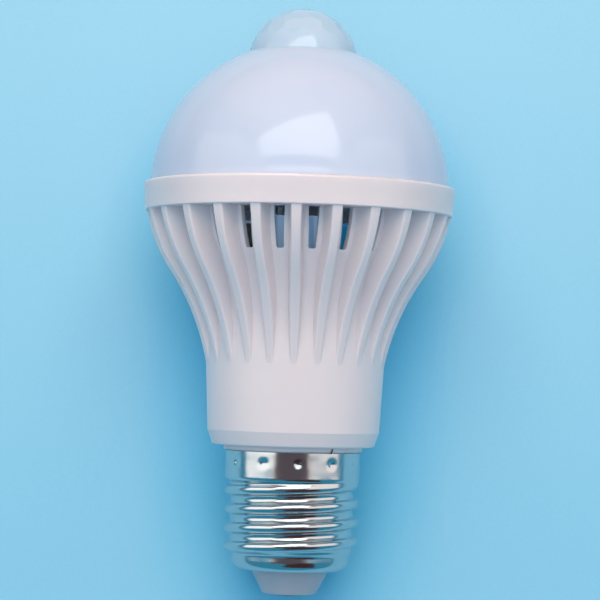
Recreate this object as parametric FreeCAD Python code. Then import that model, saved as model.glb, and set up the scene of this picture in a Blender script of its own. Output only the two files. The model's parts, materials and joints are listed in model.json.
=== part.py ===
import FreeCAD, Part
import math
import os

# Motion sensor bulb with a screw base, built from separate pieces, in millimetres.
# The bulb stands on its foot contact: the origin is at the middle of that contact,
# the axis runs up along +Z to the sensor dome, and -Y is the front.

V = FreeCAD.Vector

# Driving sizes of the screw base
thread_crest_radius = 13.07
thread_root_radius = 11.97
thread_pitch = 3.629
thread_rise = 2.95
thread_fade = 0.9
thread_run_out = 1.5
thread_crest_height = 14.6
rings_per_turn = 18
points_per_ring = 48
ring_tolerance = 0.0001
shell_sheet = 0.3
shell_foot = 4.95
shell_foot_radius = 11.45
shell_corner = 2.0
skirt_radius = 13.15
skirt_top = 27.9
skirt_height = 5.1
crimp_count = 12
crimp_drop = 2.1
crimp_ball = 1.5
crimp_standoff = 1.2
crimp_turn = 6.0

# Driving sizes of the insulator and the foot contact
insulator_foot = 0.35
insulator_foot_radius = 5.2
insulator_neck_radius = 7.55
insulator_flange_inset = 0.55
insulator_rise = 2.25
contact_radius = 2.4
contact_shank_radius = 0.9
contact_rivet = 0.6

# Driving sizes of the moulded housing
wall = 1.6
neck_ring_radius = 13.5
neck_ring_height = 1.1
neck_ring_round = 0.3
neck_rise = 2.4
neck_round = 0.4
neck_bore_radius = 9.9
band_height = 2.8
band_top_radius = 16.72
band_foot_radius = 15.7
band_round = 0.5
barrel_top = 50.0
barrel_top_radius = 17.6
barrel_floor = 1.7
flare_turn_drop = 9.1
flare_turn_radius = 22.0
flare_top_radius = 24.9
collar_bottom = 74.1
collar_height = 5.5
collar_lip = 0.98
collar_foot_lip = 0.58
collar_round = 0.45
collar_foot_round = 0.25
ledge_rise = 2.1

# Driving sizes of the ribs and the vents between them
rib_count = 24
rib_foot = 44.0
rib_foot_sink = 0.11
rib_foot_slope = 10.0
rib_turn_drop = 11.6
rib_turn_radius = 24.75
rib_setback = 0.4
rib_half_at_foot = 0.66
rib_half_at_top = 1.0
rib_draft = 7.0
rib_crest_round = 0.35
vent_height = 7.8
vent_width_bottom = 1.4
vent_width_top = 2.1
vent_corner = 0.35

# Driving sizes of the globe and the sensor lens
globe_radius = 29.27
globe_rise = 2.2
globe_wall = 1.3
lens_radius = 10.7
lens_drop = 1.53
lens_wall = 0.7
lens_foot_radius = 11.5
lens_flange_radius = 12.6
lens_flange = 0.8
lens_flare = 0.9
facet_counts = (14, 9)
facet_tilts = (38.0, 58.0)
facet_turns = (0.0, 20.0)

# Driving sizes of the sensor's holder and its board
holder_spigot_radius = 5.0
holder_bore_radius = 4.2
holder_foot_radius = 9.5
holder_foot = 1.4
holder_stem_radius = 6.2
holder_stem_drop = 10.9
holder_cup_radius = 12.0
holder_cup_drop = 6.9
holder_cup_ledge = 1.0
sensor_board_drop = 4.8
sensor_board_thickness = 1.0
sensor_board_radius = 11.0
can_radius = 4.55
can_flange_radius = 4.9
can_height = 4.2
can_window_side = 4.0

# Driving sizes of the light board
light_board_inset = 1.08
light_board_thickness = 1.5
emitter_length = 3.5
emitter_width = 2.8
emitter_height = 0.8
emitter_counts = (15, 9)
emitter_gap = 0.7
emitter_spread = 0.395
screw_count = 3
screw_share = 0.82
screw_turn = 30.0
screw_radius = 0.95
screw_head_radius = 1.9
screw_head = 1.1
screw_length = 6.0
boss_radius = 1.75
boss_length = 17.0

# Driving sizes of the driver board and what stands on it
board_width = 15.0
board_thickness = 1.2
board_rise = 2.4
board_top_drop = 0.2
rail_cover = 0.8
rail_thickness = 1.1
rail_top = 33.0
bulk_radius = 3.15
bulk_drop = 13.4
bulk_height = 12.4
bulk_side = -8.3
output_radius = 3.0
output_length = 9.0
output_side = -1.0
output_height = 55.0
choke_radius = 4.2
choke_core_radius = 3.4
choke_flange = 1.2
choke_length = 8.0
choke_height = 46.0
film_half = 6.0
film_depth = 8.5
film_bottom = 34.0
film_top = 39.0
film_round = 0.5
bridge_height = 37.0
chip_height = 49.0
lead_radius = 0.5
pin_radius = 0.3
neutral_top = 15.0
lead_joint_drop = 6.9

# Clearances
slide_gap = 0.15
board_gap = 0.1
lens_gap = 0.2
overlap = 0.5
past = 1.0

# Sizes that follow: the screw base and the insulator
thread_start = shell_foot + thread_rise
thread_end = skirt_top - skirt_height
crimp_height = skirt_top - crimp_drop
shell_opening_radius = insulator_neck_radius + board_gap
insulator_top = shell_foot + insulator_rise
insulator_flange_radius = shell_foot_radius - shell_sheet - insulator_flange_inset

# Sizes that follow: the housing and the globe that it holds
neck_bottom = insulator_top + neck_rise
barrel_bottom = skirt_top + neck_ring_height
band_top = barrel_bottom + band_height
barrel_taper = (barrel_top_radius - band_top_radius) / (barrel_top - band_top)
rib_foot_radius = band_top_radius + (rib_foot - band_top) * barrel_taper - rib_foot_sink
flare_turn_height = collar_bottom - flare_turn_drop
rib_turn_height = collar_bottom - rib_turn_drop
vent_bottom = collar_bottom - vent_height
collar_top = collar_bottom + collar_height
ledge = collar_bottom + ledge_rise
globe_centre = ledge + globe_rise
globe_inner_radius = globe_radius - globe_wall
collar_bore_radius = globe_radius + slide_gap
collar_top_radius = collar_bore_radius + collar_lip
collar_bottom_radius = collar_bore_radius + collar_foot_lip
rib_top_radius = collar_bottom_radius - rib_setback

# Sizes that follow: the lens in the globe's hole, and what stands under it
lens_hole_radius = lens_foot_radius + lens_gap
globe_seat = globe_centre + math.sqrt(globe_radius ** 2 - lens_hole_radius ** 2)
flange_seat = globe_centre + math.sqrt(globe_inner_radius ** 2 - lens_flange_radius ** 2)
lens_centre = globe_seat - lens_drop
lens_flange_bottom = flange_seat - slide_gap - lens_flange
holder_top = lens_flange_bottom
holder_stem_top = holder_top - holder_stem_drop
holder_cup_bottom = holder_top - holder_cup_drop
sensor_board_bottom = holder_top - sensor_board_drop

# Sizes that follow: the boards
light_board_seat = math.sqrt(globe_inner_radius ** 2 - globe_rise ** 2)
light_board_radius = light_board_seat - light_board_inset
screw_circle = light_board_radius * screw_share
inner_ring_radius = holder_foot_radius + emitter_gap + emitter_width / 2
outer_ring_radius = inner_ring_radius + (light_board_radius - inner_ring_radius) * emitter_spread
board_bottom = neck_bottom + board_rise
board_top = collar_bottom - board_top_drop
bulk_bottom = board_top - bulk_drop
lead_joint = board_top - lead_joint_drop
board_back = board_thickness / 2
board_front = -board_back
light_board_top = ledge + light_board_thickness
sensor_board_top = sensor_board_bottom + sensor_board_thickness
rib_step = 360.0 / rib_count
spigot_radius = thread_root_radius - shell_sheet - slide_gap
seat_radius = skirt_radius - shell_sheet - slide_gap


# Shared ways of making a piece

def rounded_edges(corners, closed):
    """Straight runs joined by tangent arcs, from a list of (corner, arc radius)."""
    joints = []
    last = len(corners) - 1
    for i, (corner, radius) in enumerate(corners):
        if radius == 0 or (not closed and i in (0, last)):
            joints.append((corner, None, corner))
            continue
        back = (corners[i - 1][0] - corner).normalize()
        ahead = (corners[(i + 1) % len(corners)][0] - corner).normalize()
        half = back.getAngle(ahead) / 2
        reach = radius / math.tan(half)
        apex = corner + (back + ahead).normalize() * (radius / math.sin(half) - radius)
        joints.append((corner + back * reach, apex, corner + ahead * reach))
    edges = []
    for i, (start, apex, end) in enumerate(joints):
        if apex is not None:
            edges.append(Part.Arc(start, apex, end).toShape())
        if closed or i < last:
            onward = joints[(i + 1) % len(joints)][0]
            if end.distanceToPoint(onward) > 1e-6:
                edges.append(Part.makeLine(end, onward))
    return edges


def revolved(edges):
    """A solid of revolution about Z from the edges of a closed outline in the XZ plane."""
    face = Part.Face(Part.Wire(Part.__sortEdges__(edges)))
    return face.revolve(V(0, 0, 0), V(0, 0, 1), 360)


def turned(*corners):
    """A turned piece from corners (radius, height) or (radius, height, rounding)."""
    points = [(V(c[0], 0, c[1]), c[2] if len(c) > 2 else 0) for c in corners]
    return revolved(rounded_edges(points, True))


def disc(radius, bottom, top, x=0.0, y=0.0):
    return Part.makeCylinder(radius, top - bottom, V(x, y, bottom))


def block(x, y, z):
    """A box from its (low, high) pairs."""
    size = [pair[1] - pair[0] for pair in (x, y, z)]
    return Part.makeBox(*size, V(x[0], y[0], z[0]))


def at_angle(shape, angle):
    copy = shape.copy()
    copy.rotate(V(0, 0, 0), V(0, 0, 1), angle)
    return copy


def around(shape, count, first=0.0):
    """Copies of a shape at even steps about the axis."""
    return [at_angle(shape, first + 360.0 * i / count) for i in range(count)]


def bent_wire(radius, bend, *points):
    """A round wire whose straight runs are joined by arcs."""
    corners = [(V(*p), bend) for p in points]
    path = Part.Wire(rounded_edges(corners, False))
    start = V(*points[0])
    profile = Part.Wire(Part.makeCircle(radius, start, V(*points[1]) - start))
    return path.makePipeShell([profile], True, True)


def polar(radius, angle):
    return radius * math.cos(math.radians(angle)), radius * math.sin(math.radians(angle))


# Outlines whose stretches flow into each other

def flow(start, slope, *ends):
    """Stations (radius, height, slope) of tangent arcs that start at a slope from the axis."""
    stations = [(start[0], start[1], math.radians(slope))]
    for radius, height in ends:
        last_radius, last_height, last_slope = stations[-1]
        chord = math.atan2(radius - last_radius, height - last_height)
        stations.append((radius, height, 2 * chord - last_slope))
    return stations


def flow_edges(stations, inset):
    """The arcs through the stations, moved square to themselves by the inset."""
    places = [(r - inset * math.cos(a), z + inset * math.sin(a), a) for r, z, a in stations]
    edges = []
    for (r0, z0, a0), (r1, z1, _) in zip(places, places[1:]):
        chord = math.atan2(r1 - r0, z1 - z0)
        start = V(r0, 0, z0)
        end = V(r1, 0, z1)
        sag = start.distanceToPoint(end) / 2 * math.tan((chord - a0) / 2)
        middle = (start + end) / 2 + V(-math.cos(chord), 0, math.sin(chord)) * sag
        if abs(sag) < 1e-4:
            edges.append(Part.makeLine(start, end))
        else:
            edges.append(Part.Arc(start, middle, end).toShape())
    return edges


def ends_of(edges):
    return edges[0].firstVertex(True).Point, edges[-1].lastVertex(True).Point


def joined(*points):
    return [Part.makeLine(a, b) for a, b in zip(points, points[1:])]


# The housing: a barrel that flares to the collar, with ribs and vents

def barrel_stations(bottom):
    start = band_top_radius + (bottom - band_top) * barrel_taper
    return flow(
        (start, bottom),
        math.degrees(math.atan(barrel_taper)),
        (barrel_top_radius, barrel_top),
        (flare_turn_radius, flare_turn_height),
        (flare_top_radius, collar_bottom),
    )


def rib_stations():
    return flow(
        (rib_foot_radius, rib_foot),
        rib_foot_slope,
        (rib_turn_radius, rib_turn_height),
        (rib_top_radius, collar_bottom),
    )


def housing_outside():
    curve = flow_edges(barrel_stations(band_top), 0)
    low, high = ends_of(curve)
    foot = V(0, 0, barrel_bottom)
    corners = [(low, 0), (V(band_foot_radius, 0, barrel_bottom), band_round), (foot, 0)]
    band = rounded_edges(corners, False)
    body = revolved(band + curve + joined(high, V(0, 0, collar_bottom), foot))
    collar = turned(
        (0, collar_bottom),
        (collar_bottom_radius, collar_bottom, collar_foot_round),
        (collar_top_radius, collar_top, collar_round),
        (0, collar_top),
    )
    seat_start = thread_end + 2 * slide_gap
    neck = turned(
        (0, neck_bottom),
        (spigot_radius, neck_bottom, neck_round),
        (spigot_radius, seat_start),
        (seat_radius, seat_start + seat_radius - spigot_radius),
        (seat_radius, skirt_top + slide_gap),
        (neck_ring_radius, skirt_top + slide_gap, neck_ring_round),
        (neck_ring_radius, barrel_bottom + overlap),
        (0, barrel_bottom + overlap),
    )
    return body.fuse([collar, neck])


def rib():
    """One cooling rib: a plate with drafted sides and rounded crest edges, on the X axis."""
    crest = flow_edges(rib_stations(), 0)
    root = flow_edges(barrel_stations(rib_foot), wall / 2)
    crest_low, crest_high = ends_of(crest)
    root_low, root_high = ends_of(root)
    lift = V(0, 0, overlap)
    outline = crest + joined(crest_high, crest_high + lift, root_high + lift, root_high) + root
    outline = outline + joined(root_low, crest_low)
    plate = Part.Face(Part.Wire(Part.__sortEdges__(outline)))
    half = wall * 2
    plate.translate(V(0, -half, 0))
    plate = plate.extrude(V(0, 2 * half, 0))
    for side in (1, -1):
        plate = plate.cut(beside_rib(side))
    crest_line = Part.Wire(crest)
    crest_edges = [e for e in plate.Edges if runs_along(e, crest_line)]
    return plate.makeFillet(rib_crest_round, crest_edges)


def beside_rib(side):
    """What lies beyond one drafted side of the rib, as a wedge with a flat inner face."""
    spread = math.tan(math.radians(rib_draft))
    rise = rib_half_at_top - rib_half_at_foot + spread * (rib_top_radius - rib_foot_radius)
    rise = rise / (collar_bottom - rib_foot)

    def half(r, z):
        return rib_half_at_foot + rise * (z - rib_foot) - spread * (r - rib_foot_radius)

    radii = (rib_foot_radius - 2 * wall, rib_top_radius + 2 * wall)
    heights = (rib_foot - 2 * wall, collar_bottom + 2 * wall)
    far = 4 * wall
    corners = [(radii[i], heights[j]) for i, j in ((0, 0), (1, 0), (1, 1), (0, 1))]
    near = [V(r, side * half(r, z), z) for r, z in corners]
    away = [V(r, side * far, z) for r, z in corners]
    faces = [Part.Face(Part.makePolygon(near + near[:1])), Part.Face(Part.makePolygon(away + away[:1]))]
    for i in range(4):
        j = (i + 1) % 4
        faces.append(Part.Face(Part.makePolygon([near[i], near[j], away[j], away[i], near[i]])))
    return Part.Solid(Part.Shell(faces))


def runs_along(edge, line):
    """Does this edge lie beside the line, at the line's own radius and height?"""
    middle = edge.valueAt((edge.FirstParameter + edge.LastParameter) / 2)
    return abs(middle.y) > 0.1 and Part.Vertex(middle.x, 0, middle.z).distToShape(line)[0] < 0.001


def vent():
    """The cut for one vent, on the X axis, narrower at its rounded lower end."""
    inner = flare_turn_radius - 2 * wall
    low = vent_width_bottom / 2
    high = vent_width_top / 2
    corners = [
        (V(inner, -low, vent_bottom), vent_corner),
        (V(inner, low, vent_bottom), vent_corner),
        (V(inner, high, collar_bottom), 0),
        (V(inner, -high, collar_bottom), 0),
    ]
    face = Part.Face(Part.Wire(rounded_edges(corners, True)))
    return face.extrude(V(flare_top_radius + past - inner, 0, 0))


def housing_inside():
    """The room in the housing, round the screw bosses that grow out of its flared wall."""
    floor = barrel_bottom + barrel_floor
    curve = flow_edges(barrel_stations(floor), wall)
    low, high = ends_of(curve)
    room = revolved(curve + joined(high, V(high.x, 0, ledge), V(0, 0, ledge), V(0, 0, low.z), low))
    bore = disc(neck_bore_radius, neck_bottom - past, floor + past)
    recess = disc(collar_bore_radius, ledge, collar_top + past)
    bosses = [disc(boss_radius, ledge - boss_length, ledge, x, y) for x, y in screw_places()]
    return room.cut(bosses).fuse([bore, recess])


def board_rails():
    """Grooved rails in the neck that hold the driver board by its two long edges."""
    inner = board_width / 2 - rail_cover
    outer = neck_bore_radius + wall / 2
    slot = board_back + board_gap
    pieces = []
    for side in (1, -1):
        x = sorted((side * inner, side * outer))
        for face in (1, -1):
            y = sorted((face * slot, face * (slot + rail_thickness)))
            pieces.append(block(x, y, (board_bottom - wall, rail_top)))
        pieces.append(block(x, (-slot, slot), (board_bottom - wall, board_bottom)))
    return pieces


def screw_places():
    return [polar(screw_circle, screw_turn + 360.0 * i / screw_count) for i in range(screw_count)]


def crimp_places():
    angles = [crimp_turn + 360.0 * i / crimp_count - 90 for i in range(crimp_count)]
    return [polar(skirt_radius + crimp_standoff, angle) for angle in angles]


def ball(radius, x, y, z):
    shape = Part.makeSphere(radius)
    shape.translate(V(x, y, z))
    return shape


def housing():
    body = housing_outside().fuse(around(rib(), rib_count))
    body = body.cut([housing_inside()] + around(vent(), rib_count, rib_step / 2))
    body = body.fuse(board_rails())
    bores = [disc(screw_radius, ledge - screw_length, ledge + past, x, y) for x, y in screw_places()]
    pockets = [ball(crimp_ball + shell_sheet + slide_gap, x, y, crimp_height) for x, y in crimp_places()]
    groove_floor = spigot_radius - 2 * pin_radius - board_gap
    groove_half = pin_radius + slide_gap
    groove_ends = (neck_bottom - past, neutral_top + past)
    groove = block((-neck_ring_radius, -groove_floor), (-groove_half, groove_half), groove_ends)
    return body.cut(bores + pockets + [groove])


# The screw base

def thread_radius(angle, height, inset):
    """Radius of the rolled thread, from tangent arcs at its crest and root."""
    depth = thread_crest_radius - thread_root_radius
    arc = (thread_pitch ** 2 / 4 + depth ** 2) / (4 * depth)
    sweep = math.asin(thread_pitch / 4 / arc)
    along = (height - thread_crest_height) / thread_pitch - angle / (2 * math.pi)
    along = abs(along - round(along)) * thread_pitch
    crest_arc = arc - inset
    root_arc = arc + inset
    if along < crest_arc * math.sin(sweep):
        wave = thread_crest_radius - arc + math.sqrt(crest_arc ** 2 - along ** 2)
    else:
        wave = thread_root_radius + arc - math.sqrt(root_arc ** 2 - (thread_pitch / 2 - along) ** 2)
    low = smooth_step((height - thread_start) / thread_fade)
    high = smooth_step((thread_end - height) / thread_run_out)
    radius = (shell_foot_radius - inset) * (1 - low) + wave * low
    return (skirt_radius - inset) * (1 - high) + radius * high


def smooth_step(t):
    t = max(0.0, min(1.0, t))
    return t * t * (3 - 2 * t)


def threaded_core(inset):
    """A solid core whose side is one smooth skin through rings of points on the thread."""
    rings = round(rings_per_turn * (thread_end - thread_start) / thread_pitch)
    grid = []
    for i in range(rings + 1):
        height = thread_start + (thread_end - thread_start) * i / rings
        ring = []
        for j in range(points_per_ring + 1):
            angle = 2 * math.pi * (j % points_per_ring) / points_per_ring
            radius = thread_radius(angle, height, inset)
            ring.append(V(radius * math.cos(angle), radius * math.sin(angle), height))
        grid.append(ring)
    skin = Part.BSplineSurface()
    skin.interpolate(grid)
    skin.setVPeriodic()
    side = skin.toShape()
    ends = [Part.Face(Part.Wire(edge)) for edge in side.Edges if edge.isClosed()]
    side.reverse()
    return Part.Solid(Part.Shell([side] + ends))


def shell_core(inset):
    """The base shell filled in: foot, thread and skirt, inset by the sheet where it is the inside."""
    foot = turned(
        (0, shell_foot + inset),
        (shell_foot_radius - inset, shell_foot + inset, shell_corner - inset),
        (shell_foot_radius - inset, thread_start),
        (0, thread_start),
    )
    skirt = disc(skirt_radius - inset, thread_end, skirt_top + 2 * inset)
    return threaded_core(inset).fuse([foot, skirt], ring_tolerance)


def screw_shell():
    outside = shell_core(0)
    inside = shell_core(shell_sheet)
    dents = [ball(crimp_ball + shell_sheet, x, y, crimp_height) for x, y in crimp_places()]
    punches = [ball(crimp_ball, x, y, crimp_height) for x, y in crimp_places()]
    opening = disc(shell_opening_radius, 0, shell_foot + past)
    inside = inside.cut(dents)
    return outside.cut([inside, opening] + punches)


def insulator():
    flange = shell_foot + shell_sheet
    body = turned(
        (0, insulator_foot),
        (insulator_foot_radius, insulator_foot, 0.5),
        (insulator_neck_radius, shell_foot),
        (insulator_neck_radius, flange),
        (insulator_flange_radius, flange, 1.2),
        (insulator_flange_radius, insulator_top, 0.3),
        (0, insulator_top),
    )
    return body.cut(disc(contact_shank_radius + board_gap, 0, insulator_top + past))


def centre_contact():
    rivet = contact_shank_radius
    return turned(
        (0, 0),
        (contact_radius, 0, 0.15),
        (contact_radius, insulator_foot),
        (rivet, insulator_foot),
        (rivet, insulator_top),
        (rivet * 1.8, insulator_top),
        (rivet * 1.5, insulator_top + contact_rivet, 0.2),
        (0, insulator_top + contact_rivet),
    )


# The globe, the sensor lens and their holder

def globe():
    outer = Part.makeSphere(globe_radius, V(0, 0, globe_centre))
    inner = Part.makeSphere(globe_inner_radius, V(0, 0, globe_centre))
    crown = globe_centre + globe_radius + past
    keep = disc(globe_radius + past, ledge, crown)
    keep = keep.cut(disc(lens_hole_radius, ledge, crown + past))
    return outer.common(keep).cut(inner)


def dome(radius, foot):
    """The arc of a dome from a height up to its crown, with the place where it starts."""
    rise = math.asin((foot - lens_centre) / radius)
    middle = (rise + math.pi / 2) / 2
    turns = (rise, middle, math.pi / 2)
    points = [V(radius * math.cos(a), 0, lens_centre + radius * math.sin(a)) for a in turns]
    return Part.Arc(*points).toShape(), points[0], points[2]


def facet_cuts(radius):
    """What the flat facets of the lens take off its dome, as slabs that face it."""
    slabs = []
    for count, tilt, first in zip(facet_counts, facet_tilts, facet_turns):
        rise = math.radians(tilt)
        half = radius * math.cos(rise) * math.tan(math.pi / count)
        reach = math.sqrt(radius ** 2 - half ** 2)
        slab = Part.makeBox(4, 4 * half, 4 * half, V(reach, -2 * half, -2 * half))
        slab.rotate(V(0, 0, 0), V(0, 1, 0), -tilt)
        slabs += [at_angle(s, first) for s in around(slab, count)]
    for slab in slabs:
        slab.translate(V(0, 0, lens_centre))
    return slabs


def sensor_lens():
    flange_top = lens_flange_bottom + lens_flange
    arc, start, crown = dome(lens_radius, globe_seat + lens_flare / 2)
    outline = joined(
        crown,
        V(0, 0, lens_flange_bottom),
        V(lens_flange_radius, 0, lens_flange_bottom),
        V(lens_flange_radius, 0, flange_top),
        V(lens_foot_radius, 0, flange_top),
        V(lens_foot_radius, 0, globe_seat - lens_flare / 2),
        start,
    )
    outside = revolved([arc] + outline).cut(facet_cuts(lens_radius))
    arc, start, crown = dome(lens_radius - lens_wall, lens_centre)
    foot = V(start.x, 0, lens_flange_bottom - past)
    inside = revolved([arc] + joined(crown, V(0, 0, foot.z), foot, start))
    return outside.cut(inside)


def sensor_holder():
    spigot_foot = light_board_top - light_board_thickness * 0.9
    cup_inner = sensor_board_radius + slide_gap
    cup_ledge = sensor_board_radius - holder_cup_ledge
    return turned(
        (holder_bore_radius, spigot_foot),
        (holder_spigot_radius, spigot_foot, 0.3),
        (holder_spigot_radius, light_board_top),
        (holder_foot_radius, light_board_top),
        (holder_foot_radius, light_board_top + holder_foot, 0.4),
        (holder_stem_radius, light_board_top + holder_foot, 0.8),
        (holder_stem_radius, holder_stem_top, 1.5),
        (holder_cup_radius, holder_cup_bottom, 1.5),
        (holder_cup_radius, holder_top),
        (cup_inner, holder_top),
        (cup_inner, sensor_board_bottom),
        (cup_ledge, sensor_board_bottom),
        (cup_ledge, holder_cup_bottom + overlap, 0.8),
        (holder_bore_radius, holder_stem_top + overlap, 0.8),
    )


# The sensor board and what stands on it

def sensor_board():
    return disc(sensor_board_radius, sensor_board_bottom, sensor_board_top)


def motion_sensor_can():
    top = sensor_board_top + can_height
    can = turned(
        (0, sensor_board_top),
        (can_flange_radius, sensor_board_top),
        (can_flange_radius, sensor_board_top + 0.4),
        (can_radius, sensor_board_top + 0.4),
        (can_radius, top, 0.5),
        (0, top),
    )
    half = can_window_side / 2
    return can.cut(block((-half, half), (-half, half), (top - 0.5, top + 1)))


def motion_sensor_window():
    top = sensor_board_top + can_height
    half = can_window_side / 2 - board_gap / 2
    return block((-half, half), (-half, half), (top - 0.5, top - 0.05))


def sensor_chip():
    body = block((-4.9, 4.9), (1.9, 5.8), (sensor_board_bottom - 1.6, sensor_board_bottom - 0.1))
    pins = []
    for i in range(8):
        x = -4.445 + 1.27 * i
        pins.append(block((x - 0.2, x + 0.2), (0.9, 6.8), (sensor_board_bottom - 0.3, sensor_board_bottom)))
    return body.fuse(pins).removeSplitter()


def light_sensor():
    body = turned(
        (0, sensor_board_top),
        (1.9, sensor_board_top),
        (1.9, sensor_board_top + 0.8),
        (1.5, sensor_board_top + 0.8),
        (1.5, sensor_board_top + 2.4, 0.9),
        (0, sensor_board_top + 2.4),
    )
    body.translate(V(7.6, 0, 0))
    return body


def electrolytic(radius, height):
    """A capacitor can standing on the XY plane, with its rolled groove."""
    return turned(
        (0, 0),
        (radius, 0, radius * 0.1),
        (radius, height * 0.1),
        (radius * 0.92, height * 0.14),
        (radius, height * 0.18),
        (radius, height, radius * 0.15),
        (0, height),
    )


def sensor_capacitors():
    cans = []
    for y in (-3.6, 3.6):
        can = electrolytic(2.0, 3.6)
        can.translate(V(-6.9, y, sensor_board_top))
        cans.append(can)
    return cans


# The light board

def light_board():
    low = ledge - past
    high = light_board_top + past
    holes = [disc(holder_spigot_radius + slide_gap, low, high)]
    holes += [disc(screw_radius + slide_gap, low, high, x, y) for x, y in screw_places()]
    holes += [disc(lead_radius + slide_gap, low, high, x, y) for x, y in light_lead_places()]
    return disc(light_board_radius, ledge, light_board_top).cut(holes)


def light_lead_places():
    return [(-4.0, 10.5), (4.0, 10.5)]


def light_emitters():
    half_length = emitter_length / 2
    half_width = emitter_width / 2
    emitter_top = light_board_top + emitter_height
    pieces = []
    for radius, count in zip((outer_ring_radius, inner_ring_radius), emitter_counts):
        across = (radius - half_width, radius + half_width)
        body = block(across, (-half_length, half_length), (light_board_top, emitter_top))
        well = Part.makeCone(1.0, 1.15, 0.3, V(radius, 0, emitter_top - 0.3))
        pieces += around(body.cut(well), count, screw_turn + 360.0 / count / 2)
    return pieces


def board_screws():
    head = light_board_top + screw_head
    pieces = []
    for x, y in screw_places():
        screw = turned(
            (0, ledge - screw_length + 0.5),
            (screw_radius - 0.5, ledge - screw_length + 0.5),
            (screw_radius - 0.02, ledge - screw_length + 1.5),
            (screw_radius - 0.02, light_board_top),
            (screw_head_radius, light_board_top),
            (screw_head_radius, head, 0.6),
            (0, head),
        )
        cross = [block((-1.0, 1.0), (-0.2, 0.2), (head - 0.6, head + 1))]
        cross.append(block((-0.2, 0.2), (-1.0, 1.0), (head - 0.6, head + 1)))
        screw = screw.cut(cross)
        screw.translate(V(x, y, 0))
        pieces.append(screw)
    return pieces


# The driver board and what stands on it

def driver_board():
    half = board_width / 2
    return block((-half, half), (board_front, board_back), (board_bottom, board_top))


def standing_off(shape, x, z):
    """Turns a piece made along Z so that it stands out of the board's back face."""
    shape.rotate(V(0, 0, 0), V(1, 0, 0), -90)
    shape.translate(V(x, board_back, z))
    return shape


def bulk_capacitor():
    can = electrolytic(bulk_radius, bulk_height)
    depth = board_back + slide_gap + bulk_radius
    can.translate(V(bulk_side, depth, bulk_bottom))
    edge = -board_width / 2 + 1.0
    legs = []
    for y, drop in ((-1.2, 2.0), (1.2, 4.0)):
        start = (bulk_side, depth + y, bulk_bottom + 0.5)
        knee = (bulk_side, depth + y, bulk_bottom - drop)
        turn = (edge, depth + y, bulk_bottom - drop - 1.0)
        end = (edge, board_back, bulk_bottom - drop - 1.0)
        legs.append(bent_wire(pin_radius, 0.5, start, knee, turn, end))
    return can.fuse(legs)


def output_capacitor():
    return standing_off(electrolytic(output_radius, output_length), output_side, output_height)


def choke():
    drum = turned(
        (0, 0),
        (choke_radius, 0, 0.2),
        (choke_radius, choke_flange, 0.2),
        (choke_core_radius, choke_flange),
        (choke_core_radius, choke_length - choke_flange),
        (choke_radius, choke_length - choke_flange, 0.2),
        (choke_radius, choke_length, 0.2),
        (0, choke_length),
    )
    return standing_off(drum, 0.0, choke_height)


def film_capacitor():
    body = block((-film_half, film_half), (board_back, board_back + film_depth), (film_bottom, film_top))
    return body.makeFillet(film_round, [e for e in body.Edges if e.BoundBox.YMax > board_back + film_round])


def surface_chip(width, length, height, pins, pitch, x, z):
    """A surface-mounted circuit on the board's front, with its two rows of pins."""
    out = board_front - height
    body = block((x - width / 2, x + width / 2), (out, board_front - 0.1), (z - length / 2, z + length / 2))
    legs = []
    for i in range(pins):
        level = z + (i - (pins - 1) / 2) * pitch
        across = (x - width / 2 - 1.0, x + width / 2 + 1.0)
        legs.append(block(across, (board_front - 0.25, board_front), (level - 0.2, level + 0.2)))
    return body.fuse(legs)


def bridge_rectifier():
    return surface_chip(3.9, 4.7, 2.4, 2, 2.54, 0.0, bridge_height)


def driver_chip():
    return surface_chip(3.9, 4.9, 1.6, 4, 1.27, 0.0, chip_height)


def fuse_resistor():
    middle = board_back + 0.4 + 1.5
    body = turned(
        (0, 20.0),
        (1.5, 20.0, 0.5),
        (1.5, 21.6),
        (1.25, 22.2),
        (1.25, 24.8),
        (1.5, 25.4),
        (1.5, 27.0, 0.5),
        (0, 27.0),
    )
    body.translate(V(-3.0, middle, 0))
    lower = bent_wire(pin_radius, 0.6, (-3.0, middle, 20.5), (-3.0, middle, 18.6), (-3.0, board_back, 18.6))
    upper = bent_wire(pin_radius, 0.6, (-3.0, middle, 26.5), (-3.0, middle, 28.4), (-3.0, board_back, 28.4))
    return body.fuse([lower, upper])


# Leads

def live_lead():
    face = board_front - lead_radius
    top = insulator_top + contact_rivet
    return bent_wire(
        lead_radius,
        1.2,
        (0, 0, top),
        (0, 0, top + 1.6),
        (0.6, face, board_bottom - 0.9),
        (2.0, face, board_bottom + 6.0),
    )


def neutral_lead():
    out = spigot_radius - pin_radius
    face = board_front - pin_radius
    low = neck_bottom - 3 * pin_radius
    return bent_wire(
        pin_radius,
        0.5,
        (-4.0, face, 18.0),
        (-4.0, face, low + 1.6),
        (-6.0, 0, low),
        (-out, 0, low),
        (-out, 0, neutral_top),
    )


def light_leads():
    face = board_back + lead_radius
    low_knee = lead_joint + 2.5
    high_knee = light_board_top - 5.0
    end = light_board_top + 0.6
    leads = []
    for x, y in light_lead_places():
        route = ((x, face, lead_joint), (x, face, low_knee), (x, y, high_knee), (x, y, end))
        leads.append(bent_wire(lead_radius, 1.5, *route))
    return leads


def sensor_leads():
    face = board_back + lead_radius
    end_side = -2.5
    pieces = []
    for x in (-1.6, 0.0, 1.6):
        pieces.append(bent_wire(
            lead_radius,
            3.0,
            (x, face, lead_joint),
            (x, face, light_board_top),
            (x, end_side, light_board_top + 10.0),
            (x, end_side, sensor_board_bottom),
        ))
    return pieces


# Every piece as its own STEP file

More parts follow.
